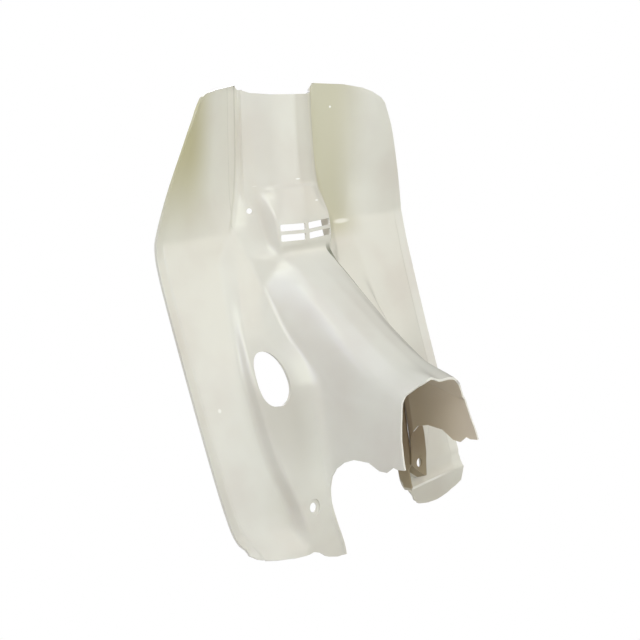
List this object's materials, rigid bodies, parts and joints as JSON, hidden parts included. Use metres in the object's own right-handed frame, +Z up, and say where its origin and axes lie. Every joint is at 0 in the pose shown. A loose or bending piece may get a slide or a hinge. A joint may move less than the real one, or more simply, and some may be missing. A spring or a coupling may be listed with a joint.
{
  "type": "scooter leg shield",
  "caption": "Moulded scooter leg shield: two curved leg panels, a louvred steering cover and a sloping open tunnel.",
  "frame": {"origin": "midway between the two lower bolt holes, on the rider's face of the leg panels", "axes": "+X to the rider's right, +Y forward, +Z up as fitted on the machine"},
  "size_m": [0.4856, 0.228, 0.5969],
  "materials": {
    "moulding": "glossy ivory white moulded plastic"
  },
  "bodies": {
    "root": {"leg_shield": "moulding"}
  },
  "joints": []
}
